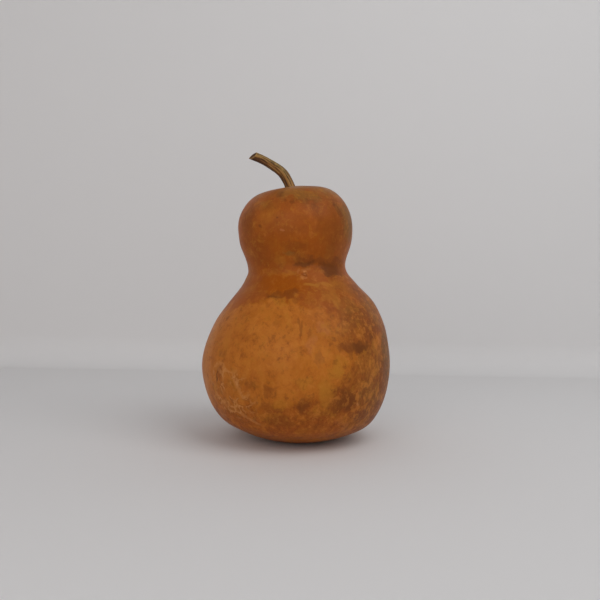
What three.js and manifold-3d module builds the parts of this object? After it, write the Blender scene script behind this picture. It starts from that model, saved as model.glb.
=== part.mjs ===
// A dried bottle gourd that stands on its base, with its ribbed stem.
// Millimetres, +Z up, seen from the front along +Y. The origin is on the flat spot it stands on, under the
// middle of the bulb.
import * as THREE from "three";
import { mergeVertices } from "three/addons/utils/BufferGeometryUtils.js";
import Module from "manifold-3d";

const wasm = await Module();
wasm.setup();

// Driving dimensions of the fruit.
const FOOT_RADIUS = 14;
const BULB_RADIUS = 74.7;
const BULB_HEIGHT = 61;
const WAIST_RADIUS = 38.9;
const WAIST_HEIGHT = 135.5;
const LOBE_RADIUS = 45.1;
const LOBE_HEIGHT = 171;
const CROWN_HEIGHT = 198.5;

// How far the fruit is from perfectly round and upright.
const CROWN_TILT = 0.08; // rise of the crown per millimetre towards +X
const CROWN_START = 158; // height where that tilt begins
const CROWN_MIDDLE = -3.9; // where along X the tilted crown keeps its height
const FLATTENING = 0.018; // front to back, as a share of the radius
const LOPSIDE = 0.012; // the bulb bulges unevenly front and back, as a share of the radius
const LOPSIDE_HEIGHT = 55;
const LOPSIDE_REACH = 50;
const DEPTH_BOW = 2; // the axis bows this far back at half height
const DEPTH_LEAN = 1; // and its top leans this far forward
const DIMPLE = { x: -9.4, y: 0.5, radius: 11, depth: 1.5 }; // where the stem grows out

// Driving dimensions of the stem.
const STEM_RADIUS = 3.3;
const STEM_FLARE = 1.7; // extra radius where the stem meets the fruit
const FLARE_REACH = 2.6;
const STEM_RIBS = 5;
const RIB_DEPTH = 0.09; // share of the radius
const CUT_SLANT = Math.tan(THREE.MathUtils.degToRad(27));
const CUT_REACH = 12; // the slant fades out over this length
const CUT_HOLLOW = 0.7; // the pith has shrunk back this far at the cut
const SEAT_GAP = 0.3; // between the stem and the fruit

// Fineness of the faceted surfaces.
const FRUIT_SEGMENTS = 64;
const RINGS_PER_SPAN = 3.5;
const STEM_SEGMENTS = STEM_RIBS * 8;
const STEM_RINGS = 22;

const point = (x, y) => new THREE.Vector2(x, y);

// Half of the fruit's outline, as radius and height, from the foot up to the crown.
const outline = new THREE.SplineCurve([
  point(FOOT_RADIUS, 0),
  point(30, 2.4),
  point(46, 8.4),
  point(61, 18),
  point(71, 36),
  point(BULB_RADIUS, BULB_HEIGHT),
  point(68.7, 87),
  point(58.2, 106),
  point(44, 124.3),
  point(WAIST_RADIUS, WAIST_HEIGHT),
  point(44.3, 155),
  point(LOBE_RADIUS, LOBE_HEIGHT),
  point(39.8, 183.5),
  point(29, 194),
  point(15, 197.7),
  point(0, CROWN_HEIGHT),
]);

// The sideways lean of the fruit's axis, as height and offset along X.
const lean = new THREE.SplineCurve([
  point(0, 2.1),
  point(31, 0.6),
  point(61, 0),
  point(91, 2.4),
  point(112, 3.3),
  point(127, 1.6),
  point(142, -2.3),
  point(162, -2.6),
  point(183, -3.2),
  point(203, -5.4),
]).getPoints(90);

function leanAt(height) {
  const next = lean.findIndex((p) => p.x >= height);
  if (next <= 0) return lean[0].y;
  const [a, b] = [lean[next - 1], lean[next]];
  return a.y + ((b.y - a.y) * (height - a.x)) / (b.x - a.x);
}

// Moves every vertex of a geometry to where place(x, y, z) puts it.
function reshape(geometry, place) {
  const position = geometry.getAttribute("position");
  for (let i = 0; i < position.count; i++) {
    const moved = place(position.getX(i), position.getY(i), position.getZ(i));
    position.setXYZ(i, moved.x, moved.y, moved.z);
  }
  return geometry;
}

// A body of revolution about Z from a profile of radius and height points.
function lathe(profile, segments) {
  return new THREE.LatheGeometry(profile, segments).rotateX(Math.PI / 2);
}

// From a true body of revolution to the leaning, slightly uneven fruit.
function placeOnFruit(x, y, height) {
  const radius = Math.hypot(x, y);
  const angle = Math.atan2(y, x);
  const across = Math.sin(angle);
  const low = Math.exp(-(((height - LOPSIDE_HEIGHT) / LOPSIDE_REACH) ** 2));
  const uneven = LOPSIDE * low * across * Math.cos(2 * angle);
  const reach = radius * (1 - FLATTENING * across ** 2 + uneven);
  const share = height / CROWN_HEIGHT;
  const placed = new THREE.Vector3(
    leanAt(height) + reach * Math.cos(angle),
    DEPTH_BOW * Math.sin(share * Math.PI) - DEPTH_LEAN * share + reach * across,
    height,
  );
  const tilt = THREE.MathUtils.smoothstep(height, CROWN_START, CROWN_HEIGHT);
  placed.z += CROWN_TILT * (placed.x - CROWN_MIDDLE) * tilt;
  if (height > CROWN_START) {
    const away = Math.hypot(placed.x - DIMPLE.x, placed.y - DIMPLE.y);
    placed.z -= DIMPLE.depth * Math.exp(-((away / DIMPLE.radius) ** 2));
  }
  return placed;
}

function fruitGeometry() {
  const spans = outline.points.length - 1;
  const profile = [point(0, 0), ...outline.getPoints(Math.round(spans * RINGS_PER_SPAN))];
  return reshape(lathe(profile, FRUIT_SEGMENTS), placeOnFruit);
}

// The stem's middle line, from inside the dimple to the cut.
const stemLine = new THREE.CatmullRomCurve3([
  new THREE.Vector3(-6.1, 0.6, 193.5),
  new THREE.Vector3(-7.5, 0.4, 199),
  new THREE.Vector3(-10.5, 0, 205.2),
  new THREE.Vector3(-14.7, -1, 211),
  new THREE.Vector3(-21.8, -2.5, 216.1),
  new THREE.Vector3(-30.1, -4.5, 220.4),
  new THREE.Vector3(-37.1, -6.5, 222.8),
]);
const STEM_LENGTH = stemLine.getLength();
const FLARE_START = 3; // how much of the line is inside the fruit

// The straight rod's outline, with the flare at its foot and the sunken pith at the cut.
function stemProfile() {
  const side = Array.from({ length: STEM_RINGS }, (_, i) => {
    const along = (i / (STEM_RINGS - 1)) * STEM_LENGTH;
    const flare = Math.exp(-(Math.max(along - FLARE_START, 0) / FLARE_REACH));
    return point(STEM_RADIUS + STEM_FLARE * flare, along);
  });
  return [
    point(0, 0),
    ...side,
    point(STEM_RADIUS * 0.75, STEM_LENGTH),
    point(STEM_RADIUS * 0.5, STEM_LENGTH - CUT_HOLLOW),
    point(0, STEM_LENGTH - CUT_HOLLOW),
  ];
}

// Ribs the straight rod, cuts its end on a slant and bends it along the stem's line.
function placeOnStem(x, y, along) {
  const angle = Math.atan2(y, x);
  const groove = Math.abs(Math.cos((STEM_RIBS * angle) / 2)) - 0.5;
  const ribbed = 1 + RIB_DEPTH * groove;
  const slant = THREE.MathUtils.smoothstep(along, STEM_LENGTH - CUT_REACH, STEM_LENGTH);
  const cut = along - CUT_SLANT * x * ribbed * slant;
  const share = THREE.MathUtils.clamp(cut / STEM_LENGTH, 0, 1);
  const tangent = stemLine.getTangentAt(share);
  const level = new THREE.Vector3(0, 1, 0).addScaledVector(tangent, -tangent.y).normalize();
  const upper = new THREE.Vector3().crossVectors(level, tangent);
  return stemLine
    .getPointAt(share)
    .addScaledVector(upper, x * ribbed)
    .addScaledVector(level, y * ribbed)
    .addScaledVector(tangent, cut - share * STEM_LENGTH);
}

function solidOf(geometry) {
  const bare = geometry.clone().deleteAttribute("normal").deleteAttribute("uv");
  const merged = mergeVertices(bare, 1e-3);
  return new wasm.Manifold(
    new wasm.Mesh({
      numProp: 3,
      vertProperties: merged.getAttribute("position").array,
      triVerts: new Uint32Array(merged.index.array),
    }),
  );
}

function geometryOf(solid) {
  const mesh = solid.getMesh();
  return new THREE.BufferGeometry()
    .setAttribute("position", new THREE.BufferAttribute(mesh.vertProperties, 3))
    .setIndex(new THREE.BufferAttribute(mesh.triVerts, 1));
}

// The stem stands in the dimple, its foot shaped to the fruit with a thin gap.
function stemGeometry(fruit) {
  const rod = reshape(lathe(stemProfile(), STEM_SEGMENTS), placeOnStem);
  const raisedFruit = solidOf(fruit).translate([0, 0, SEAT_GAP]);
  return geometryOf(solidOf(rod).subtract(raisedFruit));
}

function piece(name, geometry, color, roughness) {
  const material = new THREE.MeshStandardMaterial({ color, roughness, metalness: 0 });
  const mesh = new THREE.Mesh(geometry, material);
  mesh.name = name;
  return mesh;
}

const fruit = fruitGeometry();
const gourd = new THREE.Group();
gourd.add(piece("fruit", fruit, 0x9c5a22, 0.45));
gourd.add(piece("stem", stemGeometry(fruit), 0x7a5a2c, 0.75));

export default gourd;
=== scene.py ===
"""A dried bottle gourd, dressed: its mottled waxy skin and its ribbed stem, on a plain pale studio floor."""
import math
import bpy
import numpy as np
from mathutils import Matrix, Vector, noise


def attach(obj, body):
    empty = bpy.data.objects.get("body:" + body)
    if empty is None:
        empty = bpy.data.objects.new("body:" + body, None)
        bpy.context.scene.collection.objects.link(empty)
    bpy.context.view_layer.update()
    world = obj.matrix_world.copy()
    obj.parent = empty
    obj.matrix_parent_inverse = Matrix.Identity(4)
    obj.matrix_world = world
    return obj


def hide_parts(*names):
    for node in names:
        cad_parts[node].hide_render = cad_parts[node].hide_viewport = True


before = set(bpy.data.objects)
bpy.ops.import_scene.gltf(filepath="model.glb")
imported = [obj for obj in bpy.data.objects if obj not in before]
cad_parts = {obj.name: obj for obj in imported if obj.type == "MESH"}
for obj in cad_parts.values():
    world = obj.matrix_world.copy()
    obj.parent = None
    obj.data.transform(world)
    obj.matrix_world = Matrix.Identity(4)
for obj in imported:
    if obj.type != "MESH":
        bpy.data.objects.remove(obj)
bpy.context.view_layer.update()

# Shapes are worked out in millimetres and go to metres when their mesh is made.
MM = 0.001

# The fruit's outline as radius and height, and the sideways lean of its axis, as in the CAD part.
OUTLINE = [
    (14, 0), (30, 2.4), (46, 8.4), (61, 18), (71, 36), (74.7, 61), (68.7, 87), (58.2, 106),
    (44, 124.3), (38.9, 135.5), (44.3, 155), (45.1, 171), (39.8, 183.5), (29, 194), (15, 197.7), (0, 198.5),
]
LEAN = [
    (0, 2.1), (31, 0.6), (61, 0), (91, 2.4), (112, 3.3), (127, 1.6), (142, -2.3), (162, -2.6),
    (183, -3.2), (203, -5.4),
]
FOOT_RADIUS, CROWN_HEIGHT = OUTLINE[0][0], OUTLINE[-1][1]
FOOT_X = LEAN[0][1]
CROWN_TILT = 0.08
CROWN_START = 158
CROWN_MIDDLE = -3.9
FLATTENING = 0.018
LOPSIDE = 0.012
LOPSIDE_HEIGHT = 55
LOPSIDE_REACH = 50
DEPTH_BOW = 2
DEPTH_LEAN = 1
DIMPLE_X, DIMPLE_Y, DIMPLE_RADIUS, DIMPLE_DEPTH = -9.4, 0.5, 11, 1.5

# The stem's middle line and sizes, as in the CAD part.
STEM_LINE = [
    (-6.1, 0.6, 193.5), (-7.5, 0.4, 199), (-10.5, 0, 205.2), (-14.7, -1, 211),
    (-21.8, -2.5, 216.1), (-30.1, -4.5, 220.4), (-37.1, -6.5, 222.8),
]
STEM_RADIUS = 3.3
STEM_FLARE = 1.7
FLARE_START = 3
FLARE_REACH = 2.6
STEM_RIBS = 5
RIB_DEPTH = 0.09
CUT_SLANT = math.tan(math.radians(27))
CUT_REACH = 12
CUT_HOLLOW = 0.7
CUT_TURN = math.tan(math.radians(16))  # the cut faces the front a little
FLARED_RIBS = 1.4  # how much deeper the ribs are at the foot
BEND_SWELL = 0.3  # the stem's upper side is thicker by this share in its bend
BEND_PLACE = 17
BEND_LENGTH = 11
STEM_ROUGHNESS = 0.1  # millimetres
# Fibres on the stem: how many go round it, their height as a share of the radius, and how far they wander.
STEM_FIBRES = [(11, 0.020, 0.5), (17, 0.016, 0.8), (26, 0.010, 1.1)]
FIBRE_WAVE = 6  # millimetres along the stem for each radian of that wandering

# Fineness of the two meshes.
SKIN_SEGMENTS = 288
SKIN_RINGS = 300
FOOT_RINGS = 8
STEM_SEGMENTS = 240
STEM_RINGS = 170
CUT_RINGS = 14

# The camera stands in front of the gourd, level with its upper half, rolled a little.
PICTURE_SIZE = 600  # pixels
FOCAL_LENGTH = 620  # pixels
SENSOR = 36  # mm
CAMERA_PLACE = Vector((2.1, -496, 118.4)) * MM
CAMERA_PITCH = math.radians(0.97)  # down
CAMERA_ROLL = math.radians(1.1)


def smoothstep(value, low, high):
    share = np.clip((value - low) / (high - low), 0, 1)
    return share * share * (3 - 2 * share)


def bell(value, width):
    return np.exp(-((value / width) ** 2))


def spline(points, steps):
    """A uniform Catmull-Rom curve through the points, its ends held, with that many steps a span."""
    ends = np.array([points[0], *points, points[-1]], float)
    share = np.linspace(0, 1, steps, endpoint=False)[:, None]
    curve = []
    for before, start, end, after in zip(ends, ends[1:], ends[2:], ends[3:]):
        curve.append(
            0.5 * (
                2 * start
                + (end - before) * share
                + (2 * before - 5 * start + 4 * end - after) * share**2
                + (3 * start - before - 3 * end + after) * share**3
            )
        )
    return np.vstack([*curve, ends[-1:]])


def centripetal(points, steps):
    """A centripetal Catmull-Rom curve through the points, with that many steps a span."""
    inner = np.array(points, float)
    all_points = np.vstack([2 * inner[0] - inner[1], inner, 2 * inner[-1] - inner[-2]])
    share = np.linspace(0, 1, steps, endpoint=False)[:, None]
    curve = []
    for before, start, end, after in zip(all_points, all_points[1:], all_points[2:], all_points[3:]):
        first, middle, last = (
            math.sqrt(np.linalg.norm(b - a)) for a, b in ((before, start), (start, end), (end, after))
        )
        leave = middle * (
            (start - before) / first - (end - before) / (first + middle) + (end - start) / middle
        )
        arrive = middle * (
            (end - start) / middle - (after - start) / (middle + last) + (after - end) / last
        )
        curve.append(
            start
            + leave * share
            + (3 * (end - start) - 2 * leave - arrive) * share**2
            + (2 * (start - end) + leave + arrive) * share**3
        )
    return np.vstack([*curve, inner[-1:]])


def even_steps(curve, count):
    """That many points along a fine curve, evenly spaced, and its length."""
    along = np.concatenate([[0], np.cumsum(np.linalg.norm(np.diff(curve, axis=0), axis=1))])
    wanted = np.linspace(0, along[-1], count)
    return np.column_stack([np.interp(wanted, along, axis) for axis in curve.T]), along[-1]


outline_curve = spline(OUTLINE, steps=24)
lean_curve = spline(LEAN, steps=20)


def fruit_surface(around, radius, height):
    """Points of the leaning, slightly uneven fruit. Around is 0 at the front and grows towards +X."""
    across = -np.cos(around)
    sideways = np.sin(around)
    low = bell(height - LOPSIDE_HEIGHT, LOPSIDE_REACH)
    uneven = LOPSIDE * low * across * (sideways**2 - across**2)
    reach = radius * (1 - FLATTENING * across**2 + uneven)
    share = height / CROWN_HEIGHT
    x = np.interp(height, lean_curve[:, 0], lean_curve[:, 1]) + reach * sideways
    y = DEPTH_BOW * np.sin(share * np.pi) - DEPTH_LEAN * share + reach * across
    tilt = smoothstep(height, CROWN_START, CROWN_HEIGHT)
    away = np.hypot(x - DIMPLE_X, y - DIMPLE_Y)
    sunk = np.where(height > CROWN_START, DIMPLE_DEPTH * bell(away, DIMPLE_RADIUS), 0)
    z = height + CROWN_TILT * (x - CROWN_MIDDLE) * tilt - sunk
    return np.stack([x, y, z], axis=-1)


def place(around_degrees, height):
    """The point of the bare fruit at a place given as degrees round from the front and height."""
    radius = np.interp(height, outline_curve[:, 1], outline_curve[:, 0])
    return fruit_surface(np.radians(around_degrees), radius, height)


def noise_at(points, size, seed):
    """Smooth noise from about -1 to 1 whose lumps are about that many millimetres across."""
    flat = points.reshape(-1, 3) / size + seed
    return np.array([noise.noise(Vector(p)) for p in flat]).reshape(points.shape[:-1])


def grid_normals(points):
    """Outward unit normals of a grid of points whose rows are rings."""
    along = np.gradient(points, axis=0)
    wrapped = np.concatenate([points[:, -1:], points, points[:, :1]], axis=1)
    round_it = wrapped[:, 2:] - wrapped[:, :-2]
    normals = np.cross(round_it, along)
    lengths = np.linalg.norm(normals, axis=-1, keepdims=True)
    return normals / np.maximum(lengths, 1e-9)


def mesh_object(name, rings, first_pole, last_pole):
    """A closed mesh from rings of points, with a fan of triangles to a pole at each end.

    Its vertices are the rings' points in order, then the two poles.
    """
    count, segments = rings.shape[:2]
    points = np.vstack([rings.reshape(-1, 3), first_pole, last_pole]) * MM
    column = np.arange(segments)
    following = np.roll(column, -1)
    faces = []
    for ring in range(count - 1):
        here, there = ring * segments, (ring + 1) * segments
        faces += zip(here + column, here + following, there + following, there + column)
    start, end = count * segments, count * segments + 1
    last = (count - 1) * segments
    faces += zip(following, column, np.full(segments, start))
    faces += zip(last + column, last + following, np.full(segments, end))
    mesh = bpy.data.meshes.new(name)
    mesh.from_pydata(points.tolist(), [], [tuple(map(int, face)) for face in faces])
    mesh.shade_smooth()
    made = bpy.data.objects.new(name, mesh)
    bpy.context.scene.collection.objects.link(made)
    return made


# Gentle swellings and hollows: degrees round from the front, height, reach, and how far they stand out.
SWELLINGS = [
    (85, 190, 15, 1.2), (60, 196, 13, 0.8), (-88, 188, 13, 1.2), (-90, 143, 7, -0.9), (-90, 131, 9, 0.8),
    (88, 109, 17, 1.5), (-90, 86, 26, 0.8), (70, 12, 18, 0.9), (150, 95, 30, 0.7), (-160, 170, 20, -0.6),
    (15, 198.1, 8, 0.7), (-75, 197.9, 7, -0.8),
]
# The collar at the waist, the crease above it, the ridges round the stem and the blossom's scar.
COLLAR_DEGREES, COLLAR_HEIGHT, COLLAR_RISE = 8, 131, 0.5
CREASE_DEGREES, CREASE_HEIGHT, CREASE_DEPTH = 20, 137.5, 0.55
CREASE_FALL = 0.03  # millimetres lower for each degree to the right
RIDGE_RISE = 0.6
SCAR_RADIUS, SCAR_DEPTH = 5, 0.5


def skin_relief(points, around, height):
    """How far the skin stands out from the bare fruit, in millimetres."""
    degrees = np.degrees(around)
    clear_of_foot = smoothstep(height, 0, 9)
    lumps = 0.3 * noise_at(points, size=42, seed=3.1) + 0.14 * noise_at(points, size=15, seed=8.4)
    out = lumps * clear_of_foot
    for at_degrees, at_height, reach, amount in SWELLINGS:
        away = np.linalg.norm(points - place(at_degrees, at_height), axis=-1)
        out += amount * bell(away, reach) * clear_of_foot

    # A soft collar at the waist, with a crease above it that is deepest at the front right.
    out += COLLAR_RISE * bell(degrees - COLLAR_DEGREES, 55) * bell(height - COLLAR_HEIGHT, 5)
    crease = CREASE_HEIGHT - CREASE_FALL * (degrees - COLLAR_DEGREES) + 0.5 * np.sin(degrees / 9)
    out -= CREASE_DEPTH * bell(degrees - CREASE_DEGREES, 26) * bell(height - crease, 1.5)

    # The ridges of the stem run out over the crown.
    x, y = points[..., 0] - DIMPLE_X, points[..., 1] - DIMPLE_Y
    away = np.hypot(x, y)
    ridged = np.abs(np.cos(STEM_RIBS * np.arctan2(y, x) / 2)) - 0.5
    out += np.where(height > CROWN_START, RIDGE_RISE * ridged * bell(away - 6, 9), 0)

    # The blossom's scar is a shallow ring in the middle of the foot.
    off_centre = np.hypot(points[..., 0] - FOOT_X, points[..., 1])
    out -= np.where(height <= 0, SCAR_DEPTH * bell(off_centre - SCAR_RADIUS, 1.2), 0)
    return out


def make_skin():
    side, _ = even_steps(outline_curve, SKIN_RINGS)
    foot_radii = np.linspace(FOOT_RADIUS / FOOT_RINGS, FOOT_RADIUS, FOOT_RINGS)
    foot = np.column_stack([foot_radii, np.zeros(FOOT_RINGS)])
    profile = np.vstack([foot[:-1], side[:-1]])
    around = np.linspace(-np.pi, np.pi, SKIN_SEGMENTS, endpoint=False)
    radius = np.repeat(profile[:, :1], SKIN_SEGMENTS, axis=1)
    height = np.repeat(profile[:, 1:], SKIN_SEGMENTS, axis=1)
    angles = np.repeat(around[None], len(profile), axis=0)
    points = fruit_surface(angles, radius, height)
    normals = grid_normals(points)
    rings = points + normals * skin_relief(points, angles, height)[..., None]
    rings[..., 2] = np.maximum(rings[..., 2], 0)
    return mesh_object("gourd_skin", rings, np.array([FOOT_X, 0, 0]), place(0, CROWN_HEIGHT))


stem_curve, stem_length = even_steps(centripetal(STEM_LINE, steps=40), count=400)


def stem_frames(shares):
    """Points, tangents and the two directions across the stem at shares of its length."""
    known = np.linspace(0, 1, len(stem_curve))
    middle = np.stack([np.interp(shares, known, axis) for axis in stem_curve.T], axis=-1)
    slopes = np.gradient(stem_curve, axis=0)
    slopes /= np.linalg.norm(slopes, axis=1, keepdims=True)
    tangent = np.stack([np.interp(shares, known, axis) for axis in slopes.T], axis=-1)
    tangent /= np.linalg.norm(tangent, axis=-1, keepdims=True)
    level = np.array([0, 1.0, 0]) - tangent * tangent[..., 1:2]
    level /= np.linalg.norm(level, axis=-1, keepdims=True)
    return middle, tangent, level, np.cross(level, tangent)


def stem_place(rod):
    """Bends a straight rod to the stem's line and slants its cut.

    The rod's points are given as across, sideways and along.
    """
    across, sideways, along = rod[..., 0], rod[..., 1], rod[..., 2]
    slant = CUT_SLANT * across - CUT_TURN * sideways
    cut = along - slant * smoothstep(along, stem_length - CUT_REACH, stem_length)
    share = np.clip(cut / stem_length, 0, 1)
    middle, tangent, level, upper = stem_frames(share)
    beyond = (cut - share * stem_length)[..., None]
    return middle + upper * across[..., None] + level * sideways[..., None] + tangent * beyond


def flare(along):
    """How wide the stem's foot is spread: 1 where it leaves the fruit, fading to 0 further up."""
    return np.exp(-np.maximum(along - FLARE_START, 0) / FLARE_REACH)


def make_stem():
    along = np.linspace(0, stem_length, STEM_RINGS)
    angle = np.linspace(0, 2 * np.pi, STEM_SEGMENTS, endpoint=False)
    radius = (STEM_RADIUS + STEM_FLARE * flare(along))[:, None]

    # Ribs, with finer fibres on them that wander a little along the stem.
    angles, alongs = np.meshgrid(angle, along)
    depth = RIB_DEPTH * (1 + FLARED_RIBS * flare(alongs))
    ribs = depth * (np.abs(np.cos(STEM_RIBS * angles / 2)) - 0.5)
    fibres = np.zeros_like(angles)
    for count, strength, wander in STEM_FIBRES:
        fibres += strength * np.sin(count * angles + wander * np.sin(alongs / FIBRE_WAVE + count))
    swell = BEND_SWELL * bell(alongs - BEND_PLACE, BEND_LENGTH) * (0.5 + 0.5 * np.cos(angles))
    reach = radius * (1 + ribs + fibres + swell)
    side = np.stack([reach * np.cos(angles), reach * np.sin(angles), alongs], axis=-1)

    # The cut end: a rim, then the pith shrunk back from it.
    inward = np.linspace(1, 0, CUT_RINGS + 1)[1:-1]
    sunk = CUT_HOLLOW * smoothstep(1 - inward, 0.18, 0.5)
    end = side[-1][None] * np.ones((len(inward), 1, 1))
    end[..., :2] *= inward[:, None, None]
    end[..., 2] = stem_length - sunk[:, None]
    rod = np.concatenate([side, end])
    points = stem_place(rod)
    rough = noise_at(points, size=3.2, seed=5.5)[..., None] * STEM_ROUGHNESS
    points += grid_normals(points) * rough
    poles = np.array([[0.0, 0.0, 0.0], [0.0, 0.0, stem_length - CUT_HOLLOW]])
    made = mesh_object("gourd_stem", points, *stem_place(poles))

    # Where each vertex was on the straight rod, which the fibres of its material follow.
    straight = made.data.attributes.new("straight", "FLOAT_VECTOR", "POINT")
    straight.data.foreach_set("vector", (np.vstack([rod.reshape(-1, 3), poles]) * MM).ravel())
    return made


def add_node(tree, kind, inputs=None, **settings):
    """A shader node with its settings and inputs. An input is a value or another node's output socket."""
    made = tree.nodes.new(kind)
    for name, value in settings.items():
        setattr(made, name, value)
    for key, value in (inputs or {}).items():
        if isinstance(value, bpy.types.NodeSocket):
            tree.links.new(value, made.inputs[key])
        else:
            made.inputs[key].default_value = value
    return made


def new_material(name):
    material = bpy.data.materials.new(name)
    material.use_nodes = True
    tree = material.node_tree
    tree.nodes.clear()
    shader = add_node(tree, "ShaderNodeBsdfPrincipled")
    add_node(tree, "ShaderNodeOutputMaterial", {"Surface": shader.outputs[0]})
    return material, tree, shader


def calculate(tree, operation, *values):
    """A Math node's result."""
    return add_node(tree, "ShaderNodeMath", dict(enumerate(values)), operation=operation).outputs[0]


def total(tree, first, *more):
    for value in more:
        first = calculate(tree, "ADD", first, value)
    return first


def product(tree, first, second):
    return calculate(tree, "MULTIPLY", first, second)


def split(tree, points):
    """The x, y and z of points."""
    return add_node(tree, "ShaderNodeSeparateXYZ", {0: points}).outputs


def distance(tree, x, y):
    """How far points are from the upright line where x and y are 0."""
    return calculate(tree, "SQRT", total(tree, product(tree, x, x), product(tree, y, y)))


def stepped(tree, value, start, end, most=1.0):
    """Goes smoothly from 0 at start to most at end, whichever of the two is larger."""
    inputs = {"Value": value, "From Min": start, "From Max": end, "To Max": most}
    return add_node(tree, "ShaderNodeMapRange", inputs, interpolation_type="SMOOTHSTEP").outputs[0]


def cloud(tree, points, size, seed, detail=2.0, roughness=0.5):
    """A node of noise, about 0.25 to 0.75, whose lumps are that many millimetres across."""
    inputs = {"Vector": points, "W": seed, "Scale": 1 / (size * MM), "Detail": detail, "Roughness": roughness}
    return add_node(tree, "ShaderNodeTexNoise", inputs, noise_dimensions="4D")


def swing(tree, noise_node, strength):
    """Noise that swings either way of 0."""
    centred = calculate(tree, "SUBTRACT", noise_node.outputs["Fac"], 0.5)
    return product(tree, centred, strength)


def stretched(tree, points, scale):
    return add_node(tree, "ShaderNodeMapping", {"Vector": points, "Scale": scale}).outputs[0]


def bent(tree, points, size, seed, reach, along=1.0):
    """The points, moved about by up to roughly half that reach in millimetres, to make edges ragged.

    A small value of along makes the bends longer up and down.
    """
    lumps = cloud(tree, stretched(tree, points, (1, 1, along)), size, seed)
    push = add_node(
        tree, "ShaderNodeVectorMath", {0: lumps.outputs["Color"], 1: (0.5, 0.5, 0.5)}, operation="SUBTRACT"
    )
    scaled = add_node(
        tree, "ShaderNodeVectorMath", {0: push.outputs[0], "Scale": reach * MM}, operation="SCALE"
    )
    moved = add_node(tree, "ShaderNodeVectorMath", {0: points, 1: scaled.outputs[0]}, operation="ADD")
    return moved.outputs[0]


def tinted(tree, share, base, colour):
    """The base colour turned to another by that share."""
    made = add_node(tree, "ShaderNodeMix", data_type="RGBA")
    factor, first, second = made.inputs[0], made.inputs[6], made.inputs[7]
    for socket, value in ((factor, share), (first, base), (second, colour)):
        if isinstance(value, bpy.types.NodeSocket):
            tree.links.new(value, socket)
        else:
            socket.default_value = value if isinstance(value, float) else (*value, 1)
    return made.outputs[2]


def ramp(tree, value, stops):
    """Colours by value, from pairs of place and colour."""
    made = add_node(tree, "ShaderNodeValToRGB", {0: value})
    elements = made.color_ramp.elements
    elements[0].position, elements[1].position = stops[0][0], stops[-1][0]
    elements[0].color, elements[1].color = (*stops[0][1], 1), (*stops[-1][1], 1)
    for position, colour in stops[1:-1]:
        elements.new(position).color = (*colour, 1)
    return made.outputs[0]


# The skin's colours, as linear reflectance.
PALE = (0.60, 0.25, 0.070)
FAWN = (0.56, 0.190, 0.029)
TAN = (0.51, 0.158, 0.019)
ORANGE = (0.42, 0.118, 0.010)
RUSSET = (0.36, 0.090, 0.012)
AMBER = (0.34, 0.078, 0.002)
BROWN = (0.21, 0.056, 0.009)
UMBER = (0.12, 0.034, 0.007)
OCHRE = (0.46, 0.170, 0.018)
OLIVE = (0.27, 0.110, 0.020)
SEAL = (0.15, 0.062, 0.011)
ROSE = (0.46, 0.150, 0.042)
PLUM = (0.18, 0.064, 0.024)
STALK = (0.30, 0.15, 0.040)

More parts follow.
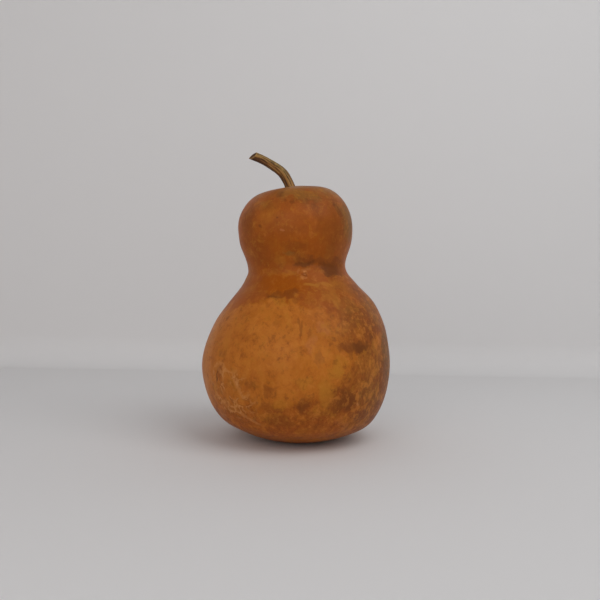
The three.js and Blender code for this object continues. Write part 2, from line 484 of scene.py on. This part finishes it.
# Marks on the skin: degrees round from the front, height, half width, half height, turn in degrees, colour,
# strength. Lengths are in millimetres, heights straight up.
BROAD_MARKS = [
    # The upper lobe.
    (-38, 182, 7, 3, 0, OLIVE, 0.6),
    (-44, 185, 7, 5, 0, RUSSET, 0.5),
    (33, 183, 8, 4, -10, RUSSET, 0.6),
    (46, 186, 9, 7, 0, BROWN, 0.4),
    (-26, 176, 7, 8, 15, OCHRE, 0.2),
    (-53, 172, 9, 15, 0, BROWN, 0.6),
    (-50, 149, 11, 9, 0, BROWN, 0.3),
    (5, 189, 16, 5, 0, OLIVE, 0.7),
    (35, 164, 12, 14, 0, BROWN, 0.35),
    (52, 177, 4, 9, -20, UMBER, 0.7),
    # Partly the skin's own colour, partly painted shade and reflection: olive and dark along the upper lobe's
    # right rim.
    (67, 170, 9, 14, 0, OLIVE, 0.9),
    (74, 172, 7, 14, 0, SEAL, 0.5),
    (1, 148, 10, 5, 0, BROWN, 0.6),
    (41, 146, 4, 5, 0, OLIVE, 0.5),
    # The waist and the amber band below it.
    # Partly the lobe's own brown, partly painted shade: darker just above the crease at the waist.
    (18, 140.5, 11, 2.5, -4, BROWN, 0.7),
    (42, 136, 12, 6, 0, UMBER, 0.7),
    (-12, 130, 5, 2.5, -8, OCHRE, 0.45),
    (-31, 129, 4, 3, 0, OCHRE, 0.3),
    (-16, 121, 22, 7, 0, AMBER, 0.85),
    (-16, 109, 7, 3, 0, OCHRE, 0.5),
    # The bulb's shoulders.
    (26, 113, 5, 6, 0, OCHRE, 0.5),
    (37, 107, 10, 6, 0, OLIVE, 0.4),
    (37, 98, 12, 7, 0, OLIVE, 0.35),
    (30, 87, 9, 6, 0, BROWN, 0.3),
    (58, 92, 8, 6, 0, BROWN, 0.5),
    (66, 81, 6, 6, 0, UMBER, 0.6),
    (36, 80, 12, 6, 0, BROWN, 0.45),
    (48, 87, 8, 8, 0, BROWN, 0.35),
    (44, 93, 17, 12, 0, BROWN, 0.35),
    (48, 64, 18, 14, 0, OLIVE, 0.4),
    (50, 62, 16, 15, 0, BROWN, 0.3),
    (34, 57, 7, 9, 20, BROWN, 0.4),
    # Partly the skin's own colour, partly painted shade and reflection: olive and dark along the bulb's right
    # rim.
    (68, 70, 9, 14, 0, OLIVE, 0.75),
    (74, 66, 13, 24, 0, SEAL, 0.6),
    # A painted sheen: paler along the bulb's left rim.
    (-70, 58, 12, 26, 0, PALE, 0.3),
    (64, 102, 8, 11, 0, OLIVE, 0.6),
    (63, 116, 7, 9, 0, BROWN, 0.4),
    (56, 99, 13, 9, 0, BROWN, 0.3),
    # The middle of the bulb.
    (-47, 71, 4, 2.5, 0, BROWN, 0.4),
    (-16, 95, 3, 2.5, 0, BROWN, 0.3),
    (7, 81, 5, 6, 0, ROSE, 0.5),
    (14, 92, 4, 4, 0, ROSE, 0.4),
    (13, 71, 4, 4, 0, PLUM, 0.3),
    (26, 68, 6, 4, 0, OCHRE, 0.5),
    (23, 63.5, 5, 8, 8, OCHRE, 0.7),
    (17, 50, 6, 8, -10, OCHRE, 0.7),
    (5, 56, 7, 4, 0, OCHRE, 0.55),
    (62, 56, 8, 13, 0, BROWN, 0.7),
    (57, 41, 8, 8, 0, OLIVE, 0.6),
    (47, 46, 10, 8, 0, OLIVE, 0.5),
    # The foot of the bulb.
    (-8, 38, 7, 4, 0, OCHRE, 0.5),
    (-25, 50, 5, 3.5, 0, BROWN, 0.5),
    (-15, 48, 5, 3, 0, BROWN, 0.45),
    (5, 40, 6, 7, 0, BROWN, 0.65),
    (-16, 36, 5, 5, 0, BROWN, 0.5),
    (-9, 27, 8, 4, 0, BROWN, 0.35),
    (14, 31, 10, 4, 0, BROWN, 0.4),
    (28, 42, 12, 10, 0, BROWN, 0.85),
    (45, 29, 9, 5, 0, PLUM, 0.6),
    (32, 22, 8, 3, 35, ROSE, 0.35),
    (-48, 57, 4.5, 5, 0, RUSSET, 0.7),
    (-48, 57, 4, 4.5, 0, BROWN, 0.3),
]
# Marks that have not run, given the same way.
FIRM_MARKS = [
    (26.6, 78.5, 6, 2.4, 0, BROWN, 0.55),
    (34.5, 79, 11, 4.4, 0, BROWN, 0.65),
    (38, 79, 7.5, 3.2, 0, UMBER, 0.6),
    (45, 84, 5, 5, 0, BROWN, 0.25),
    (31, 40, 9, 7, 0, UMBER, 0.3),
    (5, 39, 6, 6, 0, UMBER, 0.25),
    (-9, 26, 9, 4, 0, BROWN, 0.3),
    (49.3, 84.5, 3, 2.5, 0, UMBER, 0.45),
    (38, 166, 11, 14, 0, AMBER, 0.4),
    (38, 166, 12, 15, 0, BROWN, 0.2),
    (44, 158, 12, 14, 0, BROWN, 0.25),
    (0, 151, 26, 8, 0, AMBER, 0.3),
    (40, 141, 14, 9, 0, AMBER, 0.35),
    # Partly the lobe's own brown, partly painted shade: darker just above the crease at the waist.
    (20, 139.5, 14, 4, -3, BROWN, 0.45),
    (50, 137, 15, 6, 0, BROWN, 0.5),
    (38.8, 135, 8, 5, 0, UMBER, 0.55),
    (-16, 121, 20, 6, 0, AMBER, 0.35),
    # Partly the skin's own colour, partly painted shade: darker along the right rims of the upper lobe and
    # the bulb.
    (68, 172, 8, 13, 0, SEAL, 0.3),
    (70, 68, 12, 20, 0, SEAL, 0.3),
    (-57, 108, 6, 9, 30, RUSSET, 0.8),
    (-22, 114, 7, 2.6, 0, UMBER, 0.4),
    (-7.7, 115, 5.5, 4, 0, UMBER, 0.4),
    (24, 63, 3.5, 6, 12, OCHRE, 0.5),
    (16, 48, 4, 6, -8, OCHRE, 0.5),
]
# Small, sharp marks, given the same way.
SMALL_MARKS = [
    (-34, 164.6, 1.4, 1.3, 0, BROWN, 0.7),
    (-17, 171, 0.9, 0.8, 0, UMBER, 0.5),
    (-12, 161.4, 1.6, 1.2, 0, ROSE, 0.7),
    (-10, 183.7, 1.3, 1.2, 0, UMBER, 0.35),
    (-2, 182.2, 1.6, 1.3, 0, UMBER, 0.4),
    (13, 184.5, 1.5, 1.3, 0, UMBER, 0.35),
    (30, 186, 1.6, 1.4, 0, UMBER, 0.3),
    (-19, 190, 2.4, 2.4, 0, UMBER, 0.3),
    (-15, 189.5, 2, 2, 0, UMBER, 0.25),
    (-5, 144.7, 4, 1.6, 0, OLIVE, 0.6),
    # Painted shade: thin dark lines along the crease at the waist.
    (8, 136.8, 7, 1.3, -3, UMBER, 0.6),
    (17, 138.8, 4, 1.3, -20, UMBER, 0.5),
    # Painted highlights: pale glints along the collar at the front of the waist.
    (9, 133, 4, 1.2, -8, PALE, 0.18),
    (8, 131.8, 1, 0.9, 0, PALE, 0.5),
    (0, 132, 0.8, 1.7, 0, PALE, 0.2),
    (5.6, 129, 1.9, 1.7, 0, UMBER, 0.4),
    # A painted highlight: a pale glint in the middle of the dark dent.
    (5.3, 129.2, 0.7, 0.7, 0, PALE, 0.35),
    (10, 122, 6, 1.1, 2, OCHRE, 0.7),
    (25, 122.5, 5, 1.4, 8, OCHRE, 0.65),
    (-23, 112.6, 5.5, 1.1, 2, UMBER, 0.3),
    (-4, 110.5, 2.5, 2.2, 0, BROWN, 0.4),
    (1, 90, 1, 7, 4, BROWN, 0.5),
    (-1, 95.5, 0.9, 3.5, -14, BROWN, 0.45),
    (6, 88, 0.9, 4, 20, BROWN, 0.35),
    (-50.8, 54, 0.9, 5.2, 2, UMBER, 0.7),
    (-42, 59, 6, 1.1, 0, PALE, 0.5),
    (-36, 54, 1.3, 6, -16, PALE, 0.4),
    (-33, 47, 1.3, 5, -25, PALE, 0.35),
    (-53, 40, 1.4, 4, -48, PALE, 0.45),
    (-34, 28, 1.4, 5, -55, PALE, 0.4),
    (-27, 23.5, 1.3, 4.5, -70, PALE, 0.4),
    (-46, 33, 1.5, 6, -50, PALE, 0.3),
    (39, 37, 1, 2.4, 0, PALE, 0.5),
]
# Rings, given the same way.
RING_MARKS = [
    # Partly the dent's own pale ring, partly a painted highlight round its rim.
    (5.5, 129, 2.8, 2.5, 0, PALE, 0.35),
    (-29.5, 44.2, 2.7, 2.4, 0, PALE, 0.5),
    (-49, 57.5, 6.5, 6.6, 0, PALE, 0.45),
]
# Places where pale tracks wander over the skin, given the same way.
TRACKED = [
    (-42, 42, 26, 22, 0, PALE, 0.75),
    (158, 52, 34, 22, 0, PALE, 0.4),
    (-122, 30, 24, 16, 0, PALE, 0.4),
]
# Tiny flecks strewn over the skin: their spacing in millimetres, seed, colour and strength.
FLECKS = [(5.5, 1.0, BROWN, 0.42), (9.0, 2.0, BROWN, 0.5), (7.5, 3.0, PALE, 0.3)]

MARK_REACH = 1.6  # where the distance from a mark stops growing
MARK_DEPTH = 8  # a mark goes at least this far into the fruit, so that it shows on the curved skin
MARK_EDGE = 0.35  # how far a mark's colour fades either way of its edge, as a share of its size
SMALL_MARK_EDGE = 0.4


def mark_distance(tree, points, mark):
    """Distance from the middle of a mark, which is 1 all along its edge, up to MARK_REACH."""
    around, height, half_width, half_height, turn = mark[:5]
    depth = max(MARK_DEPTH, 1.5 * max(half_width, half_height))
    inputs = {
        "Vector": points,
        "Location": Vector(place(around, height)) * MM,
        "Rotation": (0, math.radians(turn), math.radians(around)),
        "Scale": Vector((half_width, depth, half_height)) * MARK_REACH * MM,
    }
    local = add_node(tree, "ShaderNodeMapping", inputs, vector_type="TEXTURE").outputs[0]
    near = add_node(tree, "ShaderNodeTexGradient", {0: local}, gradient_type="SPHERICAL").outputs["Fac"]
    return calculate(tree, "MULTIPLY_ADD", near, -MARK_REACH, MARK_REACH)


def add_marks(tree, colour, points, marks, edge):
    for mark in marks:
        share = stepped(tree, mark_distance(tree, points, mark), 1 + edge, 1 - edge, mark[6])
        colour = tinted(tree, share, colour, mark[5])
    return colour


def add_rings(tree, colour, points, marks):
    """Rings that are broken here and there."""
    whole = stepped(tree, cloud(tree, points, 3, 13.0).outputs["Fac"], 0.38, 0.56)
    for mark in marks:
        off = calculate(tree, "SUBTRACT", mark_distance(tree, points, mark), 1.0)
        share = stepped(tree, calculate(tree, "ABSOLUTE", off), 0.35, 0.1, mark[6])
        colour = tinted(tree, product(tree, share, whole), colour, mark[5])
    return colour


def skin_ground(tree, points, wavy):
    """The skin's main colours: light on the bulb, darker above, to the right and round the foot.

    Gives the colour and how lively the mottling is, which is most to the right and round the foot.
    """
    x, y, z = split(tree, wavy)

    # The dark upper part ends lower down towards either side, and it and the foot end unevenly at the back.
    off_middle = calculate(tree, "ADD", x, 15 * MM)
    drop = product(tree, product(tree, off_middle, off_middle), 0.0045 / MM)
    wander = total(
        tree, swing(tree, cloud(tree, points, 38, 15.0), 110 * MM),
        swing(tree, cloud(tree, points, 11, 16.0, 3, 0.6), 40 * MM),
    )
    wander = product(tree, wander, stepped(tree, y, -15 * MM, 40 * MM))
    above = stepped(tree, total(tree, z, drop, wander), 107 * MM, 114 * MM)
    right = stepped(tree, x, 16 * MM, 64 * MM)
    slope = product(tree, x, -0.22)
    below = stepped(tree, total(tree, z, slope, product(tree, wander, 0.5)), 45 * MM, 34 * MM)
    depth = total(
        tree,
        product(tree, above, 0.45),
        product(tree, right, 0.27),
        product(tree, below, 0.42),
        swing(tree, cloud(tree, points, 52, 1.0), 0.6),
        swing(tree, cloud(tree, points, 14, 2.0, 4, 0.6), 0.7),
        0.26,
    )
    colour = ramp(tree, depth, [(0, FAWN), (0.2, TAN), (0.48, ORANGE), (0.74, RUSSET), (1, BROWN)])

    # The waist and the underside of the upper lobe are a deeper amber.
    low_lobe = product(tree, above, stepped(tree, z, 170 * MM, 150 * MM, 0.45))
    colour = tinted(tree, low_lobe, colour, AMBER)

    # Yellower and redder clouds, and dull ones to the right.
    yellow = cloud(tree, wavy, 19, 5.0, 3).outputs["Fac"]
    colour = tinted(tree, stepped(tree, yellow, 0.52, 0.70, 0.5), colour, OCHRE)
    red = cloud(tree, wavy, 15, 6.0, 3).outputs["Fac"]
    colour = tinted(tree, stepped(tree, red, 0.56, 0.70, 0.45), colour, RUSSET)
    dull = cloud(tree, wavy, 11, 7.0).outputs["Fac"]
    dull = product(tree, right, stepped(tree, dull, 0.4, 0.6))
    colour = tinted(tree, product(tree, dull, 0.35), colour, OLIVE)
    lively = total(
        tree, 1.0, product(tree, right, 0.95), product(tree, below, 0.5),
        product(tree, above, -0.3),
    )
    return colour, lively


def add_crown(tree, colour, points):
    """The crown is olive in patches, with some brown ones."""
    *_, z = split(tree, points)
    on_crown = stepped(tree, z, 185 * MM, 197 * MM)
    patches = cloud(tree, points, 10, 17.0, 3, 0.6).outputs["Fac"]
    olive = product(tree, on_crown, stepped(tree, patches, 0.32, 0.48, 0.85))
    colour = tinted(tree, olive, colour, OLIVE)
    brown = product(tree, on_crown, stepped(tree, patches, 0.47, 0.36, 0.4))
    return tinted(tree, brown, colour, BROWN)


def add_mottling(tree, colour, points, firm, lively):
    """Fine light and dark mottling over the ground and its marks, now redder and now yellower."""
    upright = stretched(tree, points, (1, 1, 0.75))
    mottling = total(
        tree,
        swing(tree, cloud(tree, upright, 3.2, 3.0, 4, 0.7), 2.6),
        swing(tree, cloud(tree, firm, 8, 9.0, 4, 0.65), 1.3),
        swing(tree, cloud(tree, stretched(tree, points, (1, 1, 0.3)), 5, 4.0, 3), 0.6),
    )
    mottling = product(tree, mottling, lively)
    colour = tinted(tree, stepped(tree, mottling, 0.0, -0.6, 0.67), colour, BROWN)
    colour = tinted(tree, stepped(tree, mottling, 0.0, 0.6, 0.6), colour, FAWN)
    hue = swing(tree, cloud(tree, firm, 4.5, 10.0, 4, 0.7), 2.6)
    colour = tinted(tree, stepped(tree, hue, 0.0, -0.5, 0.5), colour, RUSSET)
    return tinted(tree, stepped(tree, hue, 0.0, 0.5, 0.5), colour, OCHRE)


def add_flecks(tree, colour, points):
    """Tiny dark and pale flecks, thinly strewn. Gives the colour and where the first of them are."""
    shares = []
    for spacing, seed, tint, strength in FLECKS:
        cells = add_node(
            tree, "ShaderNodeTexVoronoi", {"Vector": points, "W": seed, "Scale": 1 / (spacing * MM)},
            voronoi_dimensions="4D",
        )

        # A cell's random colour says how large its fleck is, and that many cells have none.
        luck = add_node(tree, "ShaderNodeSeparateColor", {0: cells.outputs["Color"]}).outputs[0]
        edge = stepped(tree, luck, 0.55, 1.0, 0.13)
        outside = calculate(tree, "SUBTRACT", cells.outputs["Distance"], edge)
        shares.append(stepped(tree, outside, 0.04, -0.06, strength))
        colour = tinted(tree, shares[-1], colour, tint)
    return colour, shares[0]


def add_tracks(tree, colour, points):
    """Pale wandering tracks with darker edges, left where the green skin dried unevenly."""
    wander = cloud(tree, points, 8.5, 11.0, 2)
    off = calculate(tree, "ABSOLUTE", calculate(tree, "SUBTRACT", wander.outputs["Fac"], 0.5))
    broken = stepped(tree, cloud(tree, points, 10, 12.0).outputs["Fac"], 0.42, 0.56)
    lines = product(tree, stepped(tree, off, 0.055, 0.012), broken)
    edges = product(tree, stepped(tree, off, 0.12, 0.06), broken)
    raised = 0.0
    for mark in TRACKED:
        within = stepped(tree, mark_distance(tree, points, mark), 1.2, 0.5, mark[6])
        darker = product(tree, product(tree, edges, within), 0.5)
        colour = tinted(tree, darker, colour, BROWN)
        line = product(tree, lines, within)
        colour = tinted(tree, line, colour, mark[5])
        raised = calculate(tree, "ADD", line, raised)
    return colour, raised


def skin_material():
    material, tree, shader = new_material("gourd_skin")
    points = add_node(tree, "ShaderNodeTexCoord").outputs["Object"]
    ruffled = bent(tree, points, 3.5, 21.0, 5)
    firm = bent(tree, bent(tree, points, 14, 22.0, 14), 4, 23.0, 8)

    # Most stains have run down the skin a little, so their edges are drawn out up and down.
    x, y, z = split(tree, firm)
    runs = cloud(tree, stretched(tree, points, (1, 1, 0.3)), 6, 8.0, 3, 0.6)
    z = calculate(tree, "ADD", z, swing(tree, runs, 15 * MM))
    wavy = add_node(tree, "ShaderNodeCombineXYZ", {0: x, 1: y, 2: z}).outputs[0]

    colour, lively = skin_ground(tree, points, wavy)
    colour = add_marks(tree, colour, wavy, BROAD_MARKS, MARK_EDGE)
    colour = add_crown(tree, colour, wavy)
    colour = add_mottling(tree, colour, points, firm, lively)
    colour = add_marks(tree, colour, firm, FIRM_MARKS, MARK_EDGE)
    colour, raised = add_tracks(tree, colour, ruffled)

    # Round the stem the skin is drier and paler, and round the blossom's scar it is dark.
    x, y, z = split(tree, ruffled)
    to_stem = distance(tree, calculate(tree, "SUBTRACT", x, DIMPLE_X * MM), y)
    on_top = stepped(tree, z, 150 * MM, 160 * MM)
    by_stem = product(tree, stepped(tree, to_stem, 12 * MM, 5 * MM, 0.75), on_top)
    colour = tinted(tree, by_stem, colour, STALK)
    to_foot = distance(tree, calculate(tree, "SUBTRACT", x, FOOT_X * MM), y)
    under = stepped(tree, z, 3 * MM, 1 * MM)
    scar = product(tree, stepped(tree, to_foot, 8 * MM, 5 * MM, 0.8), under)
    colour = tinted(tree, scar, colour, UMBER)

    colour = add_marks(tree, colour, ruffled, SMALL_MARKS, SMALL_MARK_EDGE)
    colour = add_rings(tree, colour, ruffled, RING_MARKS)
    colour, pits = add_flecks(tree, colour, ruffled)
    tree.links.new(colour, shader.inputs["Base Color"])

    gloss = total(
        tree, 0.42, swing(tree, cloud(tree, points, 14, 2.0, 4, 0.6), 0.2),
        swing(tree, cloud(tree, points, 2.2, 31.0, 3), 0.25), stepped(tree, raised, 0, 1, 0.12),
    )
    tree.links.new(gloss, shader.inputs["Roughness"])
    shader.inputs["Specular IOR Level"].default_value = 0.1

    grain = total(
        tree, swing(tree, cloud(tree, points, 6, 32.0, 3), 1.0),
        swing(tree, cloud(tree, points, 0.9, 33.0, 3), 0.3), raised, product(tree, pits, -0.8),
    )
    bump = add_node(tree, "ShaderNodeBump", {"Height": grain, "Strength": 0.35, "Distance": 0.25 * MM})
    tree.links.new(bump.outputs[0], shader.inputs["Normal"])
    return material


# The stem's colours, as linear reflectance.
STRAW = (0.41, 0.235, 0.070)
MOSS = (0.25, 0.16, 0.042)
BARK = (0.31, 0.12, 0.025)
# The darkest stem colour serves its dark streaks and the pith's grain, and is also its painted shade.
DARK_STREAK_AND_SHADE = (0.07, 0.026, 0.007)
PITH = (0.10, 0.045, 0.016)
FOOT = (0.44, 0.22, 0.062)


def stem_material():
    material, tree, shader = new_material("gourd_stem")
    straight = add_node(tree, "ShaderNodeAttribute", attribute_name="straight").outputs["Vector"]
    points = bent(tree, straight, 2.5, 41.0, 1.1, 0.12)
    x, y, z = split(tree, points)
    fibres = cloud(tree, stretched(tree, points, (1, 1, 0.07)), 0.9, 42.0, 3, 0.6)
    strands = cloud(tree, stretched(tree, points, (1, 1, 0.09)), 1.7, 43.0, 2)
    blotches = cloud(tree, points, 5, 44.0, 3)

    upper = total(tree, x, swing(tree, strands, 5 * MM))
    colour = tinted(tree, stepped(tree, upper, -1.2 * MM, 2.2 * MM), BARK, MOSS)
    colour = tinted(tree, stepped(tree, z, 20 * MM, 7 * MM, 0.7), colour, FOOT)
    light = total(
        tree, stepped(tree, z, 20 * MM, 8 * MM, 0.14), -0.02, swing(tree, fibres, 4.2),
        swing(tree, strands, 1.6), swing(tree, blotches, 0.7),
    )
    colour = tinted(tree, stepped(tree, light, 0.02, 0.3, 0.75), colour, STRAW)
    reddish = cloud(tree, stretched(tree, points, (1, 1, 0.05)), 2.2, 46.0, 2).outputs["Fac"]
    colour = tinted(tree, stepped(tree, reddish, 0.5, 0.62, 0.6), colour, BARK)
    colour = tinted(tree, stepped(tree, light, -0.05, -0.24, 0.9), colour, DARK_STREAK_AND_SHADE)

    # Painted shade: the grooves between the ribs are darkened, except along the upper side, and the side
    # turned down is darkened too.
    turn = product(tree, calculate(tree, "ARCTAN2", y, x), STEM_RIBS / 2)
    on_rib = calculate(tree, "ABSOLUTE", calculate(tree, "COSINE", turn))
    groove_shade = stepped(tree, on_rib, 0.45, 0.05, 0.6)
    colour = tinted(tree, product(tree, groove_shade, stepped(tree, x, 3 * MM, 0)), colour, DARK_STREAK_AND_SHADE)
    # Painted shade on the side turned down.
    colour = tinted(tree, stepped(tree, x, -1.8 * MM, -3 * MM, 0.8), colour, DARK_STREAK_AND_SHADE)

    # The cut: dark shrunken pith inside a pale torn rim.
    at_end = stepped(tree, z, (stem_length - 1.6) * MM, (stem_length - 0.9) * MM)
    inside = product(tree, stepped(tree, distance(tree, x, y), 2.95 * MM, 2.7 * MM), at_end)
    rim = stepped(tree, z, (stem_length - 1.2) * MM, (stem_length - 0.2) * MM, 0.6)
    colour = tinted(tree, rim, colour, STRAW)
    colour = tinted(tree, inside, colour, PITH)
    grain = cloud(tree, points, 0.5, 45.0, 2).outputs["Fac"]
    dark_grain = product(tree, inside, stepped(tree, grain, 0.55, 0.35, 0.8))
    colour = tinted(tree, dark_grain, colour, DARK_STREAK_AND_SHADE)
    tree.links.new(colour, shader.inputs["Base Color"])

    tree.links.new(total(tree, 0.62, swing(tree, fibres, 0.5)), shader.inputs["Roughness"])
    shader.inputs["Specular IOR Level"].default_value = 0.3
    height = total(tree, swing(tree, fibres, 1.0), swing(tree, strands, 0.8))
    bump = add_node(tree, "ShaderNodeBump", {"Height": height, "Strength": 0.6, "Distance": 0.3 * MM})
    tree.links.new(bump.outputs[0], shader.inputs["Normal"])
    return material


def studio_material():
    material, _, shader = new_material("studio")
    shader.inputs["Base Color"].default_value = (0.79, 0.775, 0.77, 1)
    shader.inputs["Roughness"].default_value = 0.9
    return material


# The studio is an open box with a straight back and sides, all its corners rounded.
STUDIO_HALF_WIDTH = 1150
STUDIO_FRONT = -1200
STUDIO_BACK = 420
STUDIO_HEIGHT = 1000
STUDIO_CORNER = 160
STUDIO_COVE = 45
QUARTER_STEPS = 12  # in each rounded quarter turn


def studio_ring(inset, level):
    """A rounded rectangle that is that far inside the studio's walls, at that level."""
    corner = STUDIO_CORNER - inset
    ring = []
    for turn, (x, y) in enumerate((
        (STUDIO_HALF_WIDTH, STUDIO_BACK), (-STUDIO_HALF_WIDTH, STUDIO_BACK),
        (-STUDIO_HALF_WIDTH, STUDIO_FRONT), (STUDIO_HALF_WIDTH, STUDIO_FRONT),
    )):
        middle_x = x - math.copysign(STUDIO_CORNER, x)
        middle_y = y - math.copysign(STUDIO_CORNER, y)
        for step in range(QUARTER_STEPS + 1):
            angle = math.radians(turn * 90 + step * 90 / QUARTER_STEPS)
            ring.append((middle_x + corner * math.cos(angle), middle_y + corner * math.sin(angle), level))
    return ring


def make_studio():
    rings = [studio_ring(STUDIO_COVE + 1, 0)]
    for step in range(QUARTER_STEPS + 1):
        angle = math.radians(step * 90 / QUARTER_STEPS)
        rings.append(studio_ring(STUDIO_COVE * (1 - math.sin(angle)), STUDIO_COVE * (1 - math.cos(angle))))
    rings.append(studio_ring(0, STUDIO_COVE + 1))
    rings.append(studio_ring(0, STUDIO_HEIGHT))
    rings = np.array(rings)
    count, segments = rings.shape[:2]
    column = np.arange(segments)
    following = np.roll(column, -1)
    faces = [tuple(range(segments))]
    for ring in range(count - 1):
        here, there = ring * segments, (ring + 1) * segments
        faces += zip(here + following, here + column, there + column, there + following)
    mesh = bpy.data.meshes.new("studio")
    mesh.from_pydata((rings.reshape(-1, 3) * MM).tolist(), [], [tuple(map(int, face)) for face in faces])
    mesh.shade_smooth()
    made = bpy.data.objects.new("studio", mesh)
    bpy.context.scene.collection.objects.link(made)
    mesh.materials.append(studio_material())


def add_softbox(name, where, aim, size, power, colour):
    light = bpy.data.lights.new(name, "AREA")
    light.shape = "SQUARE"
    light.size = size
    light.energy = power
    light.color = colour
    made = bpy.data.objects.new(name, light)
    made.location = where
    made.rotation_euler = (Vector(aim) - Vector(where)).to_track_quat("-Z", "Y").to_euler()
    made.visible_camera = False
    bpy.context.scene.collection.objects.link(made)


def light_the_studio():
    world = bpy.data.worlds.new("studio")
    world.use_nodes = True
    sky = world.node_tree.nodes["Background"]
    sky.inputs["Color"].default_value = (0.93, 0.96, 1.0, 1)
    sky.inputs["Strength"].default_value = 0.29
    bpy.context.scene.world = world
    add_softbox(
        "key", where=(0.6, -0.55, 0.95), aim=(0, 0, 0.1), size=0.9, power=4.9, colour=(0.97, 0.99, 1.0)
    )
    add_softbox(
        "front", where=(-0.45, -1.0, 0.6), aim=(-0.45, 0, 0.6), size=0.9, power=3.2, colour=(1.0, 0.95, 0.92)
    )


def add_camera():
    camera = bpy.data.cameras.new("camera")
    camera.sensor_width = SENSOR
    camera.lens = SENSOR * FOCAL_LENGTH / PICTURE_SIZE
    made = bpy.data.objects.new("camera", camera)
    level = Matrix.Rotation(math.pi / 2 - CAMERA_PITCH, 4, "X")
    roll = Matrix.Rotation(CAMERA_ROLL, 4, "Z")
    made.matrix_world = Matrix.Translation(CAMERA_PLACE) @ level @ roll
    bpy.context.scene.collection.objects.link(made)
    bpy.context.scene.camera = made


skin = make_skin()
skin.data.materials.append(skin_material())
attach(skin, "root")
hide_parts("fruit")

stem = make_stem()
stem.data.materials.append(stem_material())
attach(stem, "root")
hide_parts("stem")

make_studio()
light_the_studio()
add_camera()
bpy.context.scene.view_settings.view_transform = "Standard"
